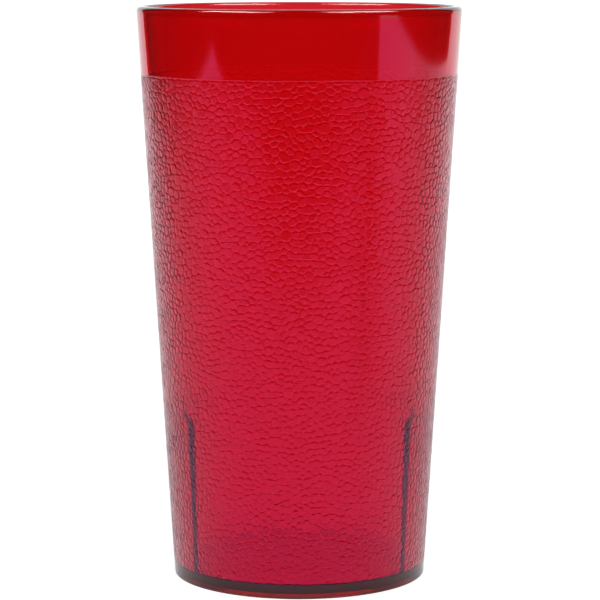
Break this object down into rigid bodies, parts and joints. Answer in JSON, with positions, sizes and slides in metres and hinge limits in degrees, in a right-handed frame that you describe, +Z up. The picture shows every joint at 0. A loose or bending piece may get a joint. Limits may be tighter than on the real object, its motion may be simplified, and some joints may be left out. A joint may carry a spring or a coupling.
{
  "type": "plastic tumbler",
  "caption": "Tapered stacking tumbler in clear red plastic, pebbled outside below a smooth rim band, with inner stacking pads.",
  "frame": {"origin": "centre of the foot, on the surface that the cup stands on", "axes": "+Z up along the cup's axis, +X through the middle of one inner stacking pad"},
  "size_m": [0.0858, 0.0858, 0.152],
  "materials": {
    "clear_red_plastic": "clear tinted plastic, glossy inside and at the rim, pebbled outside"
  },
  "bodies": {
    "root": {"tumbler": "clear_red_plastic"}
  },
  "joints": []
}
